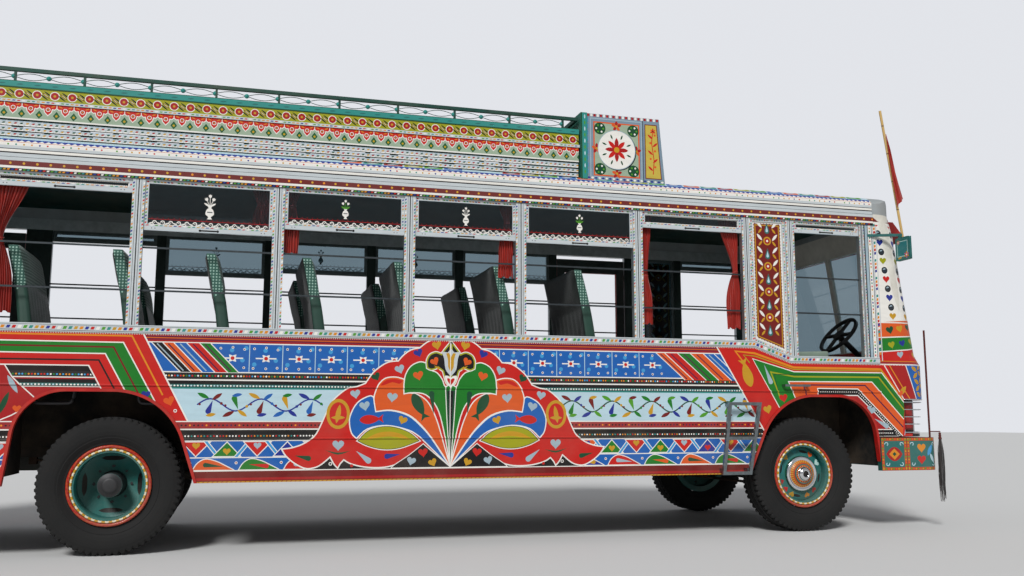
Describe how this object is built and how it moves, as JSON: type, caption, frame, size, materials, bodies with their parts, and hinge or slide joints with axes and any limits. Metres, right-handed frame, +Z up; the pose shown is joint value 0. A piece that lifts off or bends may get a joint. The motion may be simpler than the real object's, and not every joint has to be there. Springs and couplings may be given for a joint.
{
  "type": "decorated passenger bus",
  "caption": "Long-distance bus with hollow coachbuilt cabin, painted skirt panels, raised sliding windows, roof luggage rack with crown box, steered front wheels and twin rear wheels.",
  "frame": {"origin": "on the ground, in the middle of the overall length and width", "axes": "+X to the front of the bus, +Y to its left, +Z up"},
  "size_m": [10.3779, 2.94, 3.9357],
  "materials": {
    "body_paint": "hand-painted gloss",
    "rail_paint": "gloss",
    "post_metal": "bright strip",
    "sash_metal": "satin",
    "bar_metal": "gloss",
    "glass": "clear",
    "roof_paint": "gloss",
    "floor_boards": "worn",
    "house_metal": "dull",
    "chassis_metal": "dull",
    "spring_steel": "dull",
    "engine_metal": "dull",
    "tank_paint": "dull",
    "bumper_paint": "gloss",
    "rack_wood": "weathered",
    "board_paint": "hand-painted gloss",
    "rack_metal": "gloss",
    "lamp_chrome": "polished",
    "trim_metal": "gloss",
    "seat_fabric": "woven",
    "red_satin": "satin",
    "tassel_yarn": "yarn",
    "bamboo": "dry",
    "dash_plastic": "matt",
    "wheel_paint": "hand-painted gloss",
    "tyre": "worn"
  },
  "bodies": {
    "coach_body": {"side_panel_right": "body_paint", "side_panel_left": "body_paint", "body_rails": "rail_paint", "window_posts": "post_metal", "window_sashes": "sash_metal", "window_bars": "bar_metal", "window_glass": "glass", "front_panel": "body_paint", "grille": "lamp_chrome", "rear_panel": "body_paint", "roof_shell": "roof_paint", "floor": "floor_boards", "engine_cover": "house_metal", "step_wells": "floor_boards", "wheel_houses": "house_metal", "chassis_frame": "chassis_metal", "leaf_springs": "spring_steel", "front_axle": "engine_metal", "rear_axle": "engine_metal", "engine_block": "engine_metal", "fuel_tank": "tank_paint", "exhaust": "tank_paint", "bumpers": "bumper_paint", "rack_floor": "rack_wood", "rack_boards": "board_paint", "rack_rails": "rack_metal", "crown_box": "board_paint", "sun_visor": "rack_metal", "lamps": "lamp_chrome", "roof_ladder": "rack_metal", "driver_step": "trim_metal", "mirrors": "rail_paint", "corner_rods": "trim_metal", "tassels": "tassel_yarn", "flag_pole": "bamboo", "flag": "red_satin", "seats": "seat_fabric", "driver_seat": "seat_fabric", "dashboard": "dash_plastic", "steering_wheel": "trim_metal", "curtains": "red_satin"},
    "knuckle_left": {"knuckle_left": "engine_metal"},
    "knuckle_right": {"knuckle_right": "engine_metal"},
    "tie_rod": {"tie_rod": "spring_steel"},
    "front_wheel_left": {"front_wheel_left": "wheel_paint", "front_tyre_left": "tyre"},
    "front_wheel_right": {"front_wheel_right": "wheel_paint", "front_tyre_right": "tyre"},
    "rear_wheels_left": {"rear_wheels_left": "wheel_paint", "rear_tyres_left": "tyre"},
    "rear_wheels_right": {"rear_wheels_right": "wheel_paint", "rear_tyres_right": "tyre"},
    "door_front": {"door_front": "body_paint"},
    "door_rear": {"door_rear": "body_paint"}
  },
  "joints": [
    {"name": "steer_left", "type": "hinge", "parent": "coach_body", "child": "knuckle_left", "pos_m": [3.76, 0.88, 0.508], "axis": [0, 0, 1], "range_deg": [-35, 35]},
    {"name": "steer_right", "type": "hinge", "parent": "coach_body", "child": "knuckle_right", "pos_m": [3.76, -0.88, 0.508], "axis": [0, 0, 1], "range_deg": [-35, 35]},
    {"name": "tie_rod_pivot", "type": "hinge", "parent": "knuckle_left", "child": "tie_rod", "pos_m": [3.56, 0.88, 0.401], "axis": [0, 0, 1], "range_deg": [-35, 35]},
    {"name": "front_wheel_left_spin", "type": "hinge", "parent": "knuckle_left", "child": "front_wheel_left", "pos_m": [3.76, 1.03, 0.508], "axis": [0, 1, 0], "continuous": true},
    {"name": "front_wheel_right_spin", "type": "hinge", "parent": "knuckle_right", "child": "front_wheel_right", "pos_m": [3.76, -1.03, 0.508], "axis": [0, 1, 0], "continuous": true},
    {"name": "rear_wheels_left_spin", "type": "hinge", "parent": "coach_body", "child": "rear_wheels_left", "pos_m": [-2.1, 0.87, 0.508], "axis": [0, 1, 0], "continuous": true},
    {"name": "rear_wheels_right_spin", "type": "hinge", "parent": "coach_body", "child": "rear_wheels_right", "pos_m": [-2.1, -0.87, 0.508], "axis": [0, 1, 0], "continuous": true},
    {"name": "door_front_swing", "type": "hinge", "parent": "coach_body", "child": "door_front", "pos_m": [2.98, 1.237, 1.5], "axis": [0, 0, -1], "range_deg": [0, 85]},
    {"name": "door_rear_swing", "type": "hinge", "parent": "coach_body", "child": "door_rear", "pos_m": [-3.255, 1.237, 1.5], "axis": [0, 0, -1], "range_deg": [0, 85]}
  ],
  "couplings": [
    {"joint": "steer_right", "follows": "steer_left", "ratio": 1},
    {"joint": "tie_rod_pivot", "follows": "steer_left", "ratio": -1}
  ]
}
